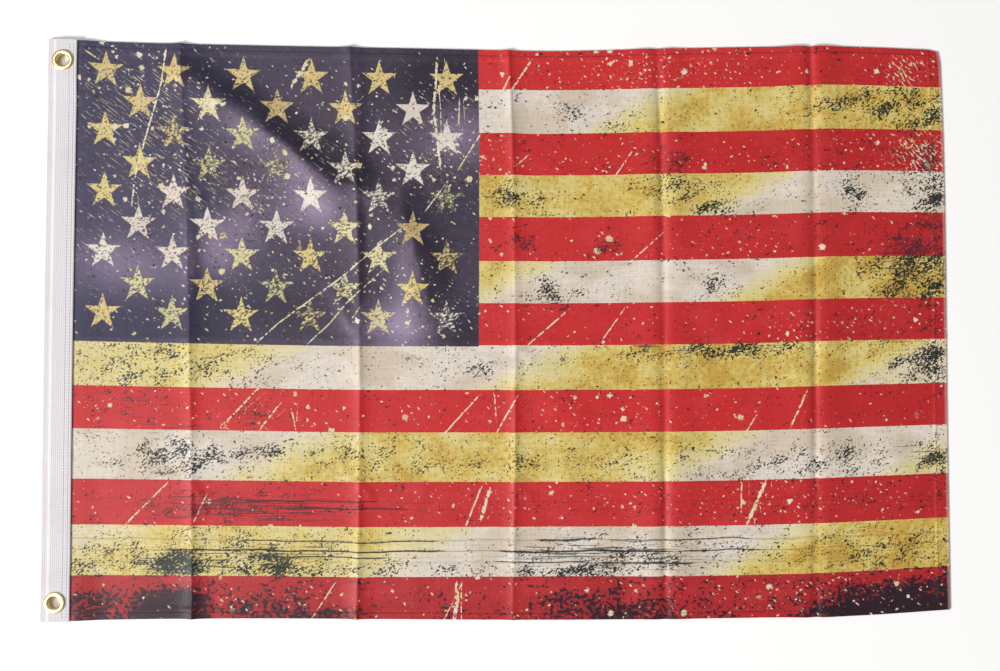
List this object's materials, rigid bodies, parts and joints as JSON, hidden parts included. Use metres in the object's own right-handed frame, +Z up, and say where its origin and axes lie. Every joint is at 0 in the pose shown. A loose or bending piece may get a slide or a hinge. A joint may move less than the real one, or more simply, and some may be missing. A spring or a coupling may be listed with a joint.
{
  "type": "tattered flag",
  "caption": "Printed polyester flag with a distressed look, spread face up with pack creases, hemmed, with a folded heading tape and clinched brass eyelets.",
  "frame": {"origin": "centre of the flag's outline, on the surface that it lies on", "axes": "+X from the hoist to the fly, +Y to the flag's top edge, +Z up out of its printed face"},
  "size_m": [0.9032, 0.5782, 0.0074],
  "materials": {
    "printed_polyester": "soft sheen plain weave, printed",
    "heading_webbing": "matte ribbed weave",
    "eyelet_brass": "pressed, satin to bright"
  },
  "bodies": {
    "root": {"flag_cloth": "printed_polyester", "heading_tape": "heading_webbing", "eyelet_top": "eyelet_brass", "eyelet_bottom": "eyelet_brass"}
  },
  "joints": []
}
